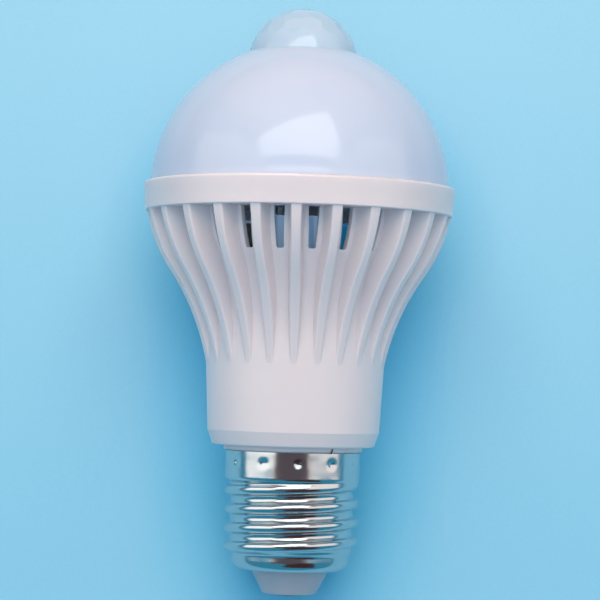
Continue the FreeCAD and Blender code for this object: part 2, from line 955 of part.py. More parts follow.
makers = (
    housing,
    globe,
    sensor_lens,
    screw_shell,
    insulator,
    centre_contact,
    driver_board,
    bulk_capacitor,
    output_capacitor,
    film_capacitor,
    choke,
    bridge_rectifier,
    driver_chip,
    fuse_resistor,
    live_lead,
    neutral_lead,
    light_leads,
    sensor_leads,
    light_board,
    light_emitters,
    board_screws,
    sensor_holder,
    sensor_board,
    motion_sensor_can,
    motion_sensor_window,
    sensor_chip,
    light_sensor,
    sensor_capacitors,
)

os.makedirs("parts", exist_ok=True)
for make in makers:
    shape = make()
    if isinstance(shape, list):
        shape = Part.makeCompound(shape)
    shape.exportStep("parts/" + make.__name__ + ".step")
    print(make.__name__, len(shape.Solids), "solids", round(shape.Volume, 1), "mm3", shape.isValid())
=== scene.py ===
# %% [markdown]
# # A motion sensor bulb, dressed for its portrait
#
# The CAD model of the bulb arrives packed: every piece is already in place, in
# metres, with the screw base down and the sensor dome up. This lesson dresses it.
# We set the camera and the lamps, give every piece the finish of its real material,
# and add the pieces that are easier to shape in Blender than in CAD.

# %% Load the imported bulb
import json
import math

import bmesh
import bpy
from mathutils import Matrix, Vector

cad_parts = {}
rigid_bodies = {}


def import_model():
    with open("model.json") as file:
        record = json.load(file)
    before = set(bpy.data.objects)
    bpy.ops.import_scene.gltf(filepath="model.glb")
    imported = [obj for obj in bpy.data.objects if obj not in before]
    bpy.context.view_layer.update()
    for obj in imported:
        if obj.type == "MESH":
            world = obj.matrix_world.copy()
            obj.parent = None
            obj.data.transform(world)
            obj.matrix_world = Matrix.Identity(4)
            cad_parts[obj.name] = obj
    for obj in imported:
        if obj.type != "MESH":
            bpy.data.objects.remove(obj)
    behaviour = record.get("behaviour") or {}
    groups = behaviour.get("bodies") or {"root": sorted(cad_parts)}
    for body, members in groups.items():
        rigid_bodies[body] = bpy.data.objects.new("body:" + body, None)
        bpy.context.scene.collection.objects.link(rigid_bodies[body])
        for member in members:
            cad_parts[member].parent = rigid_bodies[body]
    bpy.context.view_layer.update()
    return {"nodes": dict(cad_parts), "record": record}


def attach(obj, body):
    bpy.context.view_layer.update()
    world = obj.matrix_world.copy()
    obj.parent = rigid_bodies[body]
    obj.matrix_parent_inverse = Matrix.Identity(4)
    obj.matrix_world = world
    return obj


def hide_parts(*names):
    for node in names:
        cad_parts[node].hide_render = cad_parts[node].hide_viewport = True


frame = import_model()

nodes = frame["nodes"]

MM = 0.001
MM_PER_METRE = 1000.0


def in_mm(point, places=1):
    """A point in metres as rounded millimetres, for the printed notes."""
    return [round(v * MM_PER_METRE, places) for v in point]


# %% [markdown]
# ## Three small helpers
#
# Paint charts and photographs name colours as sRGB hex values, but a shader works
# with linear light, so one function turns the first into the second. A real size
# in millimetres has to become a pattern's scale: Object coordinates are in metres,
# so a noise whose blobs are 2 mm wide needs a scale of 500. And one function adds
# a node, sets it up and links it, so that a material reads like a recipe.

# %% Colours, pattern sizes and nodes
def colour(hex_value):
    """An sRGB hex colour as linear red, green, blue and alpha."""
    channels = [int(hex_value[i:i + 2], 16) / 255 for i in (1, 3, 5)]
    linear = [c / 12.92 if c <= 0.04045 else ((c + 0.055) / 1.055) ** 2.4 for c in channels]
    return linear + [1.0]


def per_mm(size):
    """The scale at which a pattern on Object coordinates repeats about every size mm."""
    return MM_PER_METRE / size


def add(tree, kind, inputs=None, **settings):
    """Adds a node. Settings go on the node; inputs hold values, or sockets to link from."""
    node = tree.nodes.new(kind)
    for name, value in settings.items():
        setattr(node, name, value)
    for name, value in (inputs or {}).items():
        if isinstance(value, bpy.types.NodeSocket):
            tree.links.new(value, node.inputs[name])
        else:
            node.inputs[name].default_value = value
    return node


print("pale blue paper in linear light:", [round(c, 3) for c in colour("#99D1E9")])

# %% [markdown]
# ## The camera
#
# A bulb looks right only from the right distance. The curve of the collar and the
# tilt of the screw base tell where the photograph was taken from: about 47 cm away,
# with a long lens, a little below the middle of the bulb and looking slightly up,
# so that the dome end leans away by two degrees. The bulb also leans to the right
# in the picture, which is a roll of the camera. All of it is worked out from the
# aim point, so the numbers below are the ones a photographer would write down.

# %% Camera at the photograph's angle
distance = 466.5 * MM
look_up = math.radians(1.92)
turn = math.radians(0.91)
roll = math.radians(1.52)
aim = Vector((0.64 * MM, 0, 57.4 * MM))

camera_data = bpy.data.cameras.new("camera")
camera_data.sensor_width = 36
camera_data.lens = 143.4
camera_data.clip_start = 10 * MM
camera = bpy.data.objects.new("camera", camera_data)
bpy.context.scene.collection.objects.link(camera)
bpy.context.scene.camera = camera

place = Vector((
    distance * math.sin(turn),
    -distance * math.cos(turn),
    -distance * math.tan(look_up),
)) + aim
facing = (aim - place).to_track_quat("-Z", "Y").to_matrix().to_4x4()
camera.matrix_world = Matrix.Translation(place) @ facing @ Matrix.Rotation(roll, 4, "Z")
print("camera at mm:", in_mm(place))

# %% [markdown]
# ## The sheet of blue paper
#
# In the photograph the bulb lies on pale blue paper, seen from above. It rests on two
# places, the back of its collar and the back of its screw base, so the paper leans
# against it from behind by about 14 degrees. That lean matters to the eye: the paper
# is close behind the screw base, where the shadow is dark and tight, and far behind
# the globe, where the shadow is wide and soft.
#
# The sheet is placed by measure: the point of the bulb that reaches furthest back,
# as seen along the paper, is found among all points of the two pieces that rest on
# it, and the paper lies a hair behind that point. So it touches and never cuts in.

# %% The sheet, placed by measure
lean = math.radians(14.2)
slope = math.tan(lean)
clearance = 0.02 * MM
paper_half = 260 * MM
paper_cells = 8
resting = [v.co for name in ("housing", "screw_shell") for v in nodes[name].data.vertices]
furthest_back = max(point.y - slope * point.z for point in resting)
paper_middle = Vector((0, furthest_back + clearance + slope * aim.z, aim.z))

paper_mesh = bpy.data.meshes.new("paper")
form = bmesh.new()
bmesh.ops.create_grid(
    form, x_segments=paper_cells, y_segments=paper_cells, size=paper_half
)
upright = Matrix.Rotation(math.pi / 2 - lean, 3, "X")
bmesh.ops.rotate(form, verts=form.verts, cent=(0, 0, 0), matrix=upright)
bmesh.ops.translate(form, verts=form.verts, vec=paper_middle)
form.to_mesh(paper_mesh)
form.free()
paper = bpy.data.objects.new("paper", paper_mesh)
bpy.context.scene.collection.objects.link(paper)
paper.visible_shadow = False
print("paper leans by", round(math.degrees(lean), 1), "degrees, middle at mm:", in_mm(paper_middle))

# %% [markdown]
# Paper isn't one flat tone. Fine fibres make it lighter and darker by three percent,
# so the eye takes it for paper and not for a screen. Its blue is painted a little
# darker towards the screw base, as painted falloff of the lamp's light, and close to
# the bulb it is painted a deeper, stronger blue, as painted shade: light that reaches
# the paper there has met it more than once. Ambient occlusion finds those places,
# since it measures how much of the open room a point can see.

# %% The paper's fibres
fibre_size, fibre_low, fibre_high = 0.6, 0.97, 1.03
paper_look = bpy.data.materials.new("paper_pale_blue")
paper_look.use_nodes = True
tree = paper_look.node_tree
tree.nodes.clear()
where = add(tree, "ShaderNodeTexCoord").outputs["Object"]
fibres = add(
    tree,
    "ShaderNodeTexNoise",
    {"Vector": where, "Scale": per_mm(fibre_size), "Detail": 4.0},
)
tone = add(
    tree,
    "ShaderNodeMapRange",
    {"Value": fibres.outputs["Fac"], "To Min": fibre_low, "To Max": fibre_high},
)
print("fibres of mm:", fibre_size, "from", fibre_low, "to", fibre_high, "of the tone")

# %% The paper's blue, with painted falloff by height and painted shade by closeness
low_end, high_end = 5 * MM, 110 * MM
contact_reach, contact_samples = 22 * MM, 8
height = add(tree, "ShaderNodeSeparateXYZ", {"Vector": where}).outputs["Z"]
rise = add(
    tree,
    "ShaderNodeMapRange",
    {"Value": height, "From Min": low_end, "From Max": high_end},
)
# The blue is painted a little darker towards the bottom, as painted falloff of the lamp's light.
painted_falloff_hue = add(
    tree,
    "ShaderNodeMix",
    {0: rise.outputs["Result"], 6: colour("#8ECEE9"), 7: colour("#99D1E9")},
    data_type="RGBA",
)
open_room = add(
    tree,
    "ShaderNodeAmbientOcclusion",
    {"Distance": contact_reach},
    samples=contact_samples,
)
# Close to the bulb the colour is painted a deeper blue, as painted shade.
painted_shade_hue = add(
    tree,
    "ShaderNodeMix",
    {0: open_room.outputs["AO"], 6: colour("#00BCE8"), 7: painted_falloff_hue.outputs[2]},
    data_type="RGBA",
)
shade = add(
    tree,
    "ShaderNodeVectorMath",
    {0: painted_shade_hue.outputs[2], "Scale": tone.outputs["Result"]},
    operation="SCALE",
)
print("deeper blue within mm of the bulb:", *in_mm((contact_reach,)))

# %% [markdown]
# Seen from its back the sheet is clear, and towards its rim it fades out into the
# room behind it, so the bulb can be looked at from the front, the back, above and
# below. Only from its left or right, along the sheet, does the paper show as a band.

# %% Where the paper ends
fade_start, fade_end = paper_half * 0.55, paper_half * 0.95
sheet = add(tree, "ShaderNodeBsdfDiffuse", {"Color": shade.outputs["Vector"]})
clear = add(tree, "ShaderNodeBsdfTransparent")
reach = add(
    tree,
    "ShaderNodeVectorMath",
    {0: where, 1: tuple(paper_middle)},
    operation="DISTANCE",
)
rim = add(
    tree,
    "ShaderNodeMapRange",
    {"Value": reach.outputs["Value"], "From Min": fade_start, "From Max": fade_end},
    interpolation_type="SMOOTHSTEP",
)
behind = add(tree, "ShaderNodeNewGeometry").outputs["Backfacing"]
gone = add(
    tree,
    "ShaderNodeMath",
    {0: rim.outputs["Result"], 1: behind},
    operation="MAXIMUM",
)
paper_mix = add(
    tree,
    "ShaderNodeMixShader",
    {0: gone.outputs["Value"], 1: sheet.outputs["BSDF"], 2: clear.outputs["BSDF"]},
)
add(tree, "ShaderNodeOutputMaterial", {"Surface": paper_mix.outputs["Shader"]})
paper_mesh.materials.append(paper_look)
print("paper fades out between mm off its middle:", in_mm((fade_start, fade_end)))

# %% [markdown]
# ## Lamps
#
# The photograph's light is plain and soft, so the lamps are large area lamps. A warm
# one stands above the camera. Its tint makes up for the blue that the room adds, so
# that white plastic stays white. A cool fill behind the camera opens the gaps between
# the ribs, and since it shines along the view, its shadow hides behind the bulb and
# the paper beside it stays light. Two weak window lamps round off the sides, and two
# lamps behind the bulb light its back, for a look from there. The one small lamp is
# inside the housing, where it lights the board that shows through the vents.
#
# Only the two at the back are seen in reflections. What the polished parts mirror in
# front is set apart from the light, with the cards further down.

# %% Where a lamp or a card stands
def facing_bulb(azimuth, elevation, reach_mm):
    """The place of something that faces the bulb: azimuth 0 is the front, 90 the right."""
    across, up = math.radians(azimuth), math.radians(elevation)
    direction = Vector((
        math.sin(across) * math.cos(up),
        -math.cos(across) * math.cos(up),
        math.sin(up),
    ))
    spot = Vector((0, 0, aim.z)) + direction * reach_mm * MM
    return Matrix.Translation(spot) @ direction.to_track_quat("Z", "Y").to_matrix().to_4x4()


above_camera = facing_bulb(0, 46, 440)
print("the lamp above stands at mm:", in_mm(above_camera.translation))

# %% Lamps
def lamp(name, power, size, stand, tint, mirrored=False):
    """A soft area lamp of so many watts, with its two sides in mm."""
    data = bpy.data.lights.new(name, "AREA")
    data.shape = "RECTANGLE"
    data.size, data.size_y = (side * MM for side in size)
    data.energy = power
    data.color = colour(tint)[:3]
    light = bpy.data.objects.new(name, data)
    bpy.context.scene.collection.objects.link(light)
    light.matrix_world = stand
    light.visible_glossy = mirrored


lamp("lamp_above", 1.8, (450, 332), above_camera, "#FFD9BE")
lamp("window_left", 0.2, (716, 345), facing_bulb(-55, 9, 620), "#FFEEDD")
lamp("window_right", 0.26, (800, 345), facing_bulb(57, 9, 640), "#FFE4D2")
lamp("fill_front", 3.3, (700, 700), facing_bulb(0, 4, 900), "#C0D6E4")
for side_name, side_azimuth in (("left", -150), ("right", 150)):
    stand = facing_bulb(side_azimuth, 20, 650)
    lamp("fill_behind_" + side_name, 0.7, (500, 400), stand, "#BFE4FF", mirrored=True)

before_board = Matrix.Translation((0, -14 * MM, 74.5 * MM))
towards_board = before_board @ Matrix.Rotation(math.radians(90), 4, "X")
lamp("glow_in_housing", 0.0008, (20, 2), towards_board, "#9CC4E8")

# %% [markdown]
# ## The room
#
# The room is one plain tone on all sides, but not the same tone for every ray. The
# camera sees the pale blue of the paper, so the sheet's rim can't be told from the
# room. As a light the room is only half as bright, and its blue is what the shadows
# take on. Mirrors see a deeper blue: at both edges of the nickel the photograph
# shows paper in the bulb's own shade.

# %% A room of three blues
world = bpy.data.worlds.new("room")
bpy.context.scene.world = world
world.use_nodes = True
tree = world.node_tree
tree.nodes.clear()
path = add(tree, "ShaderNodeLightPath")
seen = add(
    tree,
    "ShaderNodeMath",
    {0: path.outputs["Is Camera Ray"], 1: path.outputs["Is Transmission Ray"]},
    operation="MAXIMUM",
)
ambient, backdrop, mirror_tone = (
    add(tree, "ShaderNodeBackground", {"Color": colour(tint), "Strength": strength})
    for tint, strength in (("#B3DCF4", 0.5), ("#98D3EF", 1.0), ("#4296B5", 1.0))
)
for_eye = add(
    tree,
    "ShaderNodeMixShader",
    {
        0: seen.outputs["Value"],
        1: ambient.outputs["Background"],
        2: backdrop.outputs["Background"],
    },
)
room = add(
    tree,
    "ShaderNodeMixShader",
    {
        0: path.outputs["Is Glossy Ray"],
        1: for_eye.outputs["Shader"],
        2: mirror_tone.outputs["Background"],
    },
)
add(tree, "ShaderNodeOutputWorld", {"Surface": room.outputs["Shader"]})
print("room:", world.name, "with", len(tree.nodes), "nodes")

# %% [markdown]
# ## Cards for the reflections
#
# Polished nickel shows nothing of its own: it shows the room. Reading its bands from
# left to right gives the room back. There is a bright window on the left, the dark
# side of the room behind the camera, a second window on the right, and a soft lamp
# above, which also makes the bright patch on the globe. At both edges stands the
# shaded blue of the paper.
#
# Each of these is a card that reflections alone can see: it lights nothing, casts no
# shadow and never stands in the picture. The two windows fade out over their sides,
# so the bands on the nickel have soft edges. A thin card draws the line of light
# along the foot of the globe. The glow and the tan card overhead are what the
# thread's upper flanks show, and the dark card low down is what its lower flanks and
# the rounded foot show. Two flags stand in front of the lamp's card and cut its upper
# corners, which gives the patch on the globe its slanted top.

# %% A card, and the lamp's card as the first
def card(name, width, height, stand, hex_value, level=1.0, soft=0):
    """A card of one colour, in mm, which fades out over so many mm at its two sides."""
    mesh = bpy.data.meshes.new(name)
    shape = bmesh.new()
    shape.loops.layers.uv.new("across")
    bmesh.ops.create_grid(shape, x_segments=1, y_segments=1, size=0.5, calc_uvs=True)
    bmesh.ops.scale(shape, verts=shape.verts, vec=(width * MM, height * MM, 1))
    bmesh.ops.transform(shape, matrix=stand, verts=shape.verts)
    shape.to_mesh(mesh)
    shape.free()
    look = bpy.data.materials.new(name)
    look.use_nodes = True
    board = look.node_tree
    board.nodes.clear()
    glow = add(board, "ShaderNodeEmission", {"Color": colour(hex_value), "Strength": level})
    shown = glow.outputs["Emission"]
    if soft:
        across = add(board, "ShaderNodeTexCoord").outputs["UV"]
        split = add(board, "ShaderNodeSeparateXYZ", {"Vector": across})
        inward = add(
            board,
            "ShaderNodeMath",
            {0: split.outputs["X"], 1: 0.5},
            operation="PINGPONG",
        )
        fade = add(
            board,
            "ShaderNodeMapRange",
            {"Value": inward.outputs["Value"], "From Max": soft / width},
            interpolation_type="SMOOTHSTEP",
        )
        clear = add(board, "ShaderNodeBsdfTransparent")
        blend = add(
            board,
            "ShaderNodeMixShader",
            {0: fade.outputs["Result"], 1: clear.outputs["BSDF"], 2: shown},
        )
        shown = blend.outputs["Shader"]
    add(board, "ShaderNodeOutputMaterial", {"Surface": shown})
    mesh.materials.append(look)
    obj = bpy.data.objects.new(name, mesh)
    bpy.context.scene.collection.objects.link(obj)
    obj.visible_camera = False
    obj.visible_diffuse = False
    obj.visible_transmission = False
    obj.visible_shadow = False


lit = "#FFFDFB"
card("card_lamp", 450, 332, above_camera, lit, level=4.6)

# %% The other cards
window_left, window_right, shaded_blue = "#FFF3EE", "#FFEAE4", "#2F7F9E"
card("card_window_left", 800, 470, facing_bulb(-56, 15, 600), window_left, level=1.75, soft=130)
card("card_window_right", 880, 470, facing_bulb(57, 15, 620), window_right, level=1.4, soft=130)
card("card_thin", 400, 30, facing_bulb(0, 15.6, 470), lit, level=4.6)
card("card_ceiling_glow", 760, 330, facing_bulb(0, 46, 660), "#FFF6F2", level=1.5)
card("card_dark_front", 1040, 500, facing_bulb(0, -2, 760), "#64545A")
card("card_dark_low", 760, 620, facing_bulb(22, -34, 740), "#4A3033")
card("card_tan_above", 900, 460, facing_bulb(0, 86, 560), "#B9B0AD")
card("card_teal_left", 640, 1000, facing_bulb(-118, 0, 700), shaded_blue)
card("card_teal_right", 640, 1000, facing_bulb(122, 0, 700), shaded_blue)
cards = [o.name for o in bpy.context.scene.objects if o.name.startswith("card")]
print("cards:", len(cards), cards)

# %% Flags before the lamp's card
def before_lamp(right_mm, up_mm, spin):
    """A place just in front of the lamp's card, turned in the card's own plane."""
    shift = Matrix.Translation((right_mm * MM, up_mm * MM, 0))
    return facing_bulb(0, 46, 424) @ shift @ Matrix.Rotation(math.radians(spin), 4, "Z")


flag_grey = "#75616A"
card("flag_left", 520, 183, before_lamp(-89, 122, 22.8), flag_grey)
card("flag_right", 300, 133, before_lamp(234, 57, -59), flag_grey)

# %% [markdown]
# ## Materials
#
# Every finish below starts from what the piece is made of and how its surface was
# made. They share one recipe: a base colour that wanders a little, a roughness that
# wanders with it, and a fine grain in the surface. The recipe is one function, and
# the differences between moulded, lacquered and plated pieces are in its numbers:
# two tones, the range of roughness, the size of the clouds and of the grain in mm,
# and the depth of the grain in mm.

# %% The shared recipe, and the housing as its first use
def finish(
    name, light, dark, rough, cloud_mm, grain_mm, depth_mm,
    metal=0.0, ior=1.5, grain_detail=2.0,
):
    """A material with clouds of tone, matching changes of gloss, and a surface grain."""
    look = bpy.data.materials.new(name)
    look.use_nodes = True
    tree = look.node_tree
    shader = tree.nodes["Principled BSDF"]
    shader.inputs["Metallic"].default_value = metal
    if metal == 0.0:
        shader.inputs["IOR"].default_value = ior
    where = add(tree, "ShaderNodeTexCoord").outputs["Object"]
    clouds = add(
        tree,
        "ShaderNodeTexNoise",
        {"Vector": where, "Scale": per_mm(cloud_mm), "Detail": 3.0},
    )
    paint = add(
        tree,
        "ShaderNodeMix",
        {0: clouds.outputs["Fac"], 6: colour(light), 7: colour(dark)},
        data_type="RGBA",
    )
    gloss = add(
        tree,
        "ShaderNodeMapRange",
        {"Value": clouds.outputs["Fac"], "To Min": rough[0], "To Max": rough[1]},
    )
    grain = add(
        tree,
        "ShaderNodeTexNoise",
        {"Vector": where, "Scale": per_mm(grain_mm), "Detail": grain_detail},
    )
    relief = add(
        tree,
        "ShaderNodeBump",
        {"Height": grain.outputs["Fac"], "Distance": depth_mm * MM, "Strength": 1.0},
    )
    tree.links.new(paint.outputs[2], shader.inputs["Base Color"])
    tree.links.new(gloss.outputs["Result"], shader.inputs["Roughness"])
    tree.links.new(relief.outputs["Normal"], shader.inputs["Normal"])
    return look


looks = {}
# White polyester from a spark-eroded mould. A little light sinks in and comes out
# again beside, so the thin ribs look soft and lit through, not like painted chalk.
looks["housing_plastic"] = finish(
    "pbt_housing_spark_texture", "#E8DEDF", "#E2D8DC", (0.34, 0.46), 9.0, 0.25, 0.004
)
sunk_light = looks["housing_plastic"].node_tree.nodes["Principled BSDF"].inputs
sunk_light["Subsurface Weight"].default_value = 0.35
sunk_light["Subsurface Radius"].default_value = (1.0, 0.75, 0.6)
sunk_light["Subsurface Scale"].default_value = 3.0 * MM
print("first look:", looks["housing_plastic"].name)

# %% [markdown]
# The globe and the lens are set apart by their tones and by how much light comes
# through them, and the insulator is plain beside the nickel.

# %% Globe, lens, insulator and contact
# A frosted globe with a smooth outer skin: the lamp shows on it as one soft patch,
# and the tone around the patch is even, as on a diffuser that is switched off.
looks["globe_plastic"] = finish(
    "polycarbonate_globe_frosted", "#C7D3E6", "#C0CEE4", (0.09, 0.13), 14.0, 0.5, 0.002,
    ior=1.4,
)
# Milky film-like plastic. The blue of the paper comes through it, so the dome looks
# thin and pale beside the globe, and its facets show as faint patches.
looks["lens_plastic"] = finish(
    "polyethylene_lens_milky", "#CEE6F8", "#C4DEF3", (0.08, 0.13), 6.0, 0.4, 0.004
)
milk = looks["lens_plastic"].node_tree.nodes["Principled BSDF"].inputs
milk["Alpha"].default_value = 0.72
# Dense moulded resin, a little grey and dull, and darker still by painted shade from the base above
# it: a quiet end below the bright nickel.
looks["insulator_plastic"] = finish(
    "urea_insulator_painted_shade", "#B9B7C0", "#AFAEB8", (0.3, 0.4), 4.0, 0.3, 0.004
)
# Tinned brass, rubbed by lampholders: a warm, broken gleam at the very foot.
looks["contact_metal"] = finish(
    "tinned_brass_contact", "#99907C", "#7F7766", (0.3, 0.45), 1.2, 0.4, 0.01, metal=1.0
)
print("outer looks:", [look.name for look in looks.values()])

# %% [markdown]
# ## Nickel
#
# Rolling leaves two traces in the sheet. The first is slow waves, about 4 mm long and
# less than a tenth of a millimetre deep, which bend every reflection a little: that
# is what tells pressed sheet from a turned bar. The second is fine lines around the
# shell, drawn out along the way it was rolled, which blur the reflections up and down.
# The waves take the place of the recipe's grain, and the lines lie on top of them.

# %% Bright nickel on rolled sheet
looks["nickel_plate"] = finish(
    "nickel_plate_rolled", "#C6D0D3", "#BAC6CA", (0.13, 0.21), 5.0, 4.0, 0.09,
    metal=1.0, grain_detail=1.0,
)
along_lines, line_size, line_depth = (0.05, 0.05, 1.0), 0.4, 0.002
nickel = looks["nickel_plate"].node_tree
nickel_normal = nickel.nodes["Principled BSDF"].inputs["Normal"]
waves = nickel_normal.links[0].from_socket
where = add(nickel, "ShaderNodeTexCoord").outputs["Object"]
drawn_out = add(nickel, "ShaderNodeMapping", {"Vector": where, "Scale": along_lines})
rolling = add(
    nickel,
    "ShaderNodeTexNoise",
    {"Vector": drawn_out.outputs["Vector"], "Scale": per_mm(line_size), "Detail": 3.0},
)
rolled = add(
    nickel,
    "ShaderNodeBump",
    {"Height": rolling.outputs["Fac"], "Distance": line_depth * MM, "Normal": waves},
)
nickel.links.new(rolled.outputs["Normal"], nickel_normal)
print("nickel nodes:", len(nickel.nodes))

# %% [markdown]
# ## Boards
#
# The driver board is the pale strip behind the vents. Under its white mask run copper
# tracks, mostly upright, and they show as bluish stripes with sharp edges. So its two
# tones don't follow the clouds: a noise that is drawn out upright parts them instead.

# %% Driver board with tracks, and the other boards
looks["board_laminate"] = finish(
    "laminate_solder_mask_white", "#D5DCE6", "#AFC3D6", (0.3, 0.45), 5.0, 0.4, 0.005
)
upright_stretch, track_size, track_low, track_high = (1.0, 1.0, 0.06), 1.1, 0.46, 0.54
board = looks["board_laminate"].node_tree
mask_paint = board.nodes["Principled BSDF"].inputs["Base Color"].links[0].from_node
where = add(board, "ShaderNodeTexCoord").outputs["Object"]
upright_lines = add(board, "ShaderNodeMapping", {"Vector": where, "Scale": upright_stretch})
tracks = add(
    board,
    "ShaderNodeTexNoise",
    {"Vector": upright_lines.outputs["Vector"], "Scale": per_mm(track_size), "Detail": 1.0},
)
track_edge = add(
    board,
    "ShaderNodeMapRange",
    {"Value": tracks.outputs["Fac"], "From Min": track_low, "From Max": track_high},
)
board.links.new(track_edge.outputs["Result"], mask_paint.inputs[0])
# The sensor's board, in the green that reads as "circuit" at a glance.
looks["green_board"] = finish(
    "glass_laminate_green_mask", "#1F6B3C", "#175230", (0.28, 0.4), 3.0, 0.35, 0.006
)
# White mask on metal under the globe: bright and flat, so the yellow emitters stand out.
looks["aluminium_board"] = finish(
    "aluminium_board_white_mask", "#ECECEA", "#E2E2E0", (0.35, 0.48), 6.0, 0.4, 0.004
)
print("boards:", [name for name in looks if "board" in name])

# %% [markdown]
# ## What sits on the boards
#
# Small parts are told apart by colour and gloss, so each keeps what its trade gives it:
# shiny shrink sleeve, cast epoxy, enamelled wire, dull moulded resin, clear windows.

# %% Parts on the boards
# Thin shrink sleeve: dark, with the narrow gloss of stretched film.
looks["capacitor_sleeve"] = finish(
    "pvc_sleeve_dark_green", "#1F3A34", "#152824", (0.22, 0.34), 3.0, 0.5, 0.006
)
# Cast epoxy box: a warm ochre block that catches the eye between dark parts.
looks["film_case"] = finish(
    "epoxy_film_case_ochre", "#C79A2D", "#B38622", (0.3, 0.42), 2.5, 0.5, 0.01
)
# Enamelled copper: brown and glossy, with a coarse grain that breaks the light as
# turns of wire do.
looks["choke_winding"] = finish(
    "enamelled_copper_winding", "#7A4223", "#552B16", (0.25, 0.4), 1.5, 0.3, 0.02
)
# Moulded chip resin: nearly black and dull, so it reads as a flat dark shape.
looks["chip_resin"] = finish(
    "epoxy_chip_moulded_black", "#26262A", "#1C1C20", (0.4, 0.55), 1.5, 0.12, 0.006
)
# Dipped lacquer: blue-green, with uneven gloss where the coat ran.
looks["resistor_coat"] = finish(
    "lacquered_resistor_blue_green", "#6FA7A0", "#5C928C", (0.3, 0.42), 1.5, 0.3, 0.008
)
# Phosphor in clear silicone: warm yellow squares, as on every white light that is off.
looks["emitter_resin"] = finish(
    "silicone_phosphor_yellow", "#E8C94E", "#D9B63C", (0.25, 0.35), 0.8, 0.2, 0.004
)
# Coated silicon: a dark purple gleam, the one polished surface on the sensor.
looks["filter_window"] = finish(
    "silicon_filter_window", "#3A3238", "#2B252B", (0.08, 0.14), 1.0, 0.3, 0.001
)
# Tinted cast resin: a reddish bead with a tight highlight.
looks["clear_resin"] = finish(
    "tinted_clear_resin", "#8E4A34", "#7A3B29", (0.1, 0.18), 0.8, 0.3, 0.003
)
print("looks so far:", len(looks))

# %% [markdown]
# ## Wires, screws and the sensor's holder
#
# Insulation is smooth and evenly coloured, bare metal is streaky. The cut end of the
# side lead is painted brown-black, as painted shade, so that it shows as a black
# sliver and not as bright wire.

# %% Wires, screws and holder
# Soft insulation: saturated red, with a satin sheen that follows each bend.
looks["red_wire"] = finish(
    "pvc_wire_red", "#B5241C", "#9C1D17", (0.3, 0.42), 1.5, 0.3, 0.006
)
# The same insulation in off-white, a shade warmer than the boards behind it.
looks["white_wire"] = finish(
    "pvc_wire_white", "#E2E0DA", "#D4D1C9", (0.3, 0.42), 1.5, 0.3, 0.006
)
# Tinned copper: a light, uneven gleam along the bare lead and the legs.
looks["bare_wire"] = finish(
    "tinned_copper_wire", "#C4C2BE", "#A5A29C", (0.25, 0.4), 1.0, 0.25, 0.008, metal=1.0
)
# Painted shade: brown-black and dull, so the cut end stands out against the white ring.
looks["wire_cut"] = finish(
    "copper_wire_painted_shade", "#3B3430", "#2A2522", (0.4, 0.55), 0.6, 0.2, 0.01
)
# Zinc plate: grey with a bluish streak, duller than nickel.
looks["screw_steel"] = finish(
    "zinc_plated_steel", "#B9BCC0", "#9EA2A8", (0.22, 0.36), 0.8, 0.2, 0.008, metal=1.0
)
# Satin white plastic: close to the housing's white, a shade cooler and plainer.
looks["holder_plastic"] = finish(
    "abs_holder_white", "#E4E3E1", "#DAD9D7", (0.36, 0.48), 5.0, 0.3, 0.005
)
# Thin nickelled steel: a warm grey cap around the dark window.
looks["can_metal"] = finish(
    "nickelled_steel_can", "#B8B4A8", "#A39F94", (0.2, 0.32), 1.2, 0.25, 0.004, metal=1.0
)
print("materials:", len(looks))

# %% Put each finish on its pieces
def dress(piece, look):
    """Puts one look on every material slot of a piece."""
    if not piece.material_slots:
        piece.data.materials.append(look)
    for material_slot in piece.material_slots:
        material_slot.material = look


for part in frame["record"]["subparts"]:
    dress(nodes[part["node"]], looks[part["material_slot"]])

# %% [markdown]
# ## The capacitor behind the vents
#
# Through the leftmost vent shows a tall electrolytic capacitor: an aluminium can in a
# dark green shrink sleeve. The sleeve stops short of the top, and the band above it is
# painted pale: partly the can's bare shoulder, partly a painted highlight that the
# shoulder catches. Can and sleeve are one solid in the CAD, so one material holds
# both, and the height on the bulb's axis says which of them shows.

# %% Sleeve, and the bare shoulder with a painted highlight
sleeve_edge, edge_width = 72.2 * MM, 0.05 * MM
can = finish(
    "pvc_sleeve_over_aluminium_can", "#2C4640", "#22382F", (0.22, 0.34), 3.0, 0.5, 0.006
)
tree = can.node_tree
can_colour = tree.nodes["Principled BSDF"].inputs["Base Color"]
sleeve_paint = can_colour.links[0].from_socket
where = add(tree, "ShaderNodeTexCoord").outputs["Object"]
up_the_can = add(tree, "ShaderNodeSeparateXYZ", {"Vector": where}).outputs["Z"]
# Above the sleeve's edge the band is painted pale: bare aluminium, and partly a painted highlight.
bare = add(
    tree,
    "ShaderNodeMapRange",
    {"Value": up_the_can, "From Min": sleeve_edge, "From Max": sleeve_edge + edge_width},
)
can_paint_with_painted_highlight = add(
    tree,
    "ShaderNodeMix",
    {0: bare.outputs["Result"], 6: sleeve_paint, 7: colour("#E6EAEC")},
    data_type="RGBA",
)
tree.links.new(can_paint_with_painted_highlight.outputs[2], can_colour)
dress(nodes["bulk_capacitor"], can)
print("bare shoulder above mm:", round(sleeve_edge / MM, 1))

# %% [markdown]
# ## The nickel shell of the screw base
#
# The real shell is one thin sheet of brass: drawn into a cup, rolled between two
# threaded wheels, plated, and at last crimped into the plastic with a ring of small
# dents. A screw thread can be cut as a solid, but CAD triangles are uneven, and on a
# mirror every uneven triangle shows. So the shell is made again here as an even grid.
#
# It is made in the order of the workshop. A line of points is the cup's profile, and
# a full spin turns it into the cup. Rolling moves each point in or out, to where the
# thread is at its angle and height. The crimping tool pushes the dents in, with soft
# edges, and solidify gives the sheet its thickness. The sizes are those of the CAD.

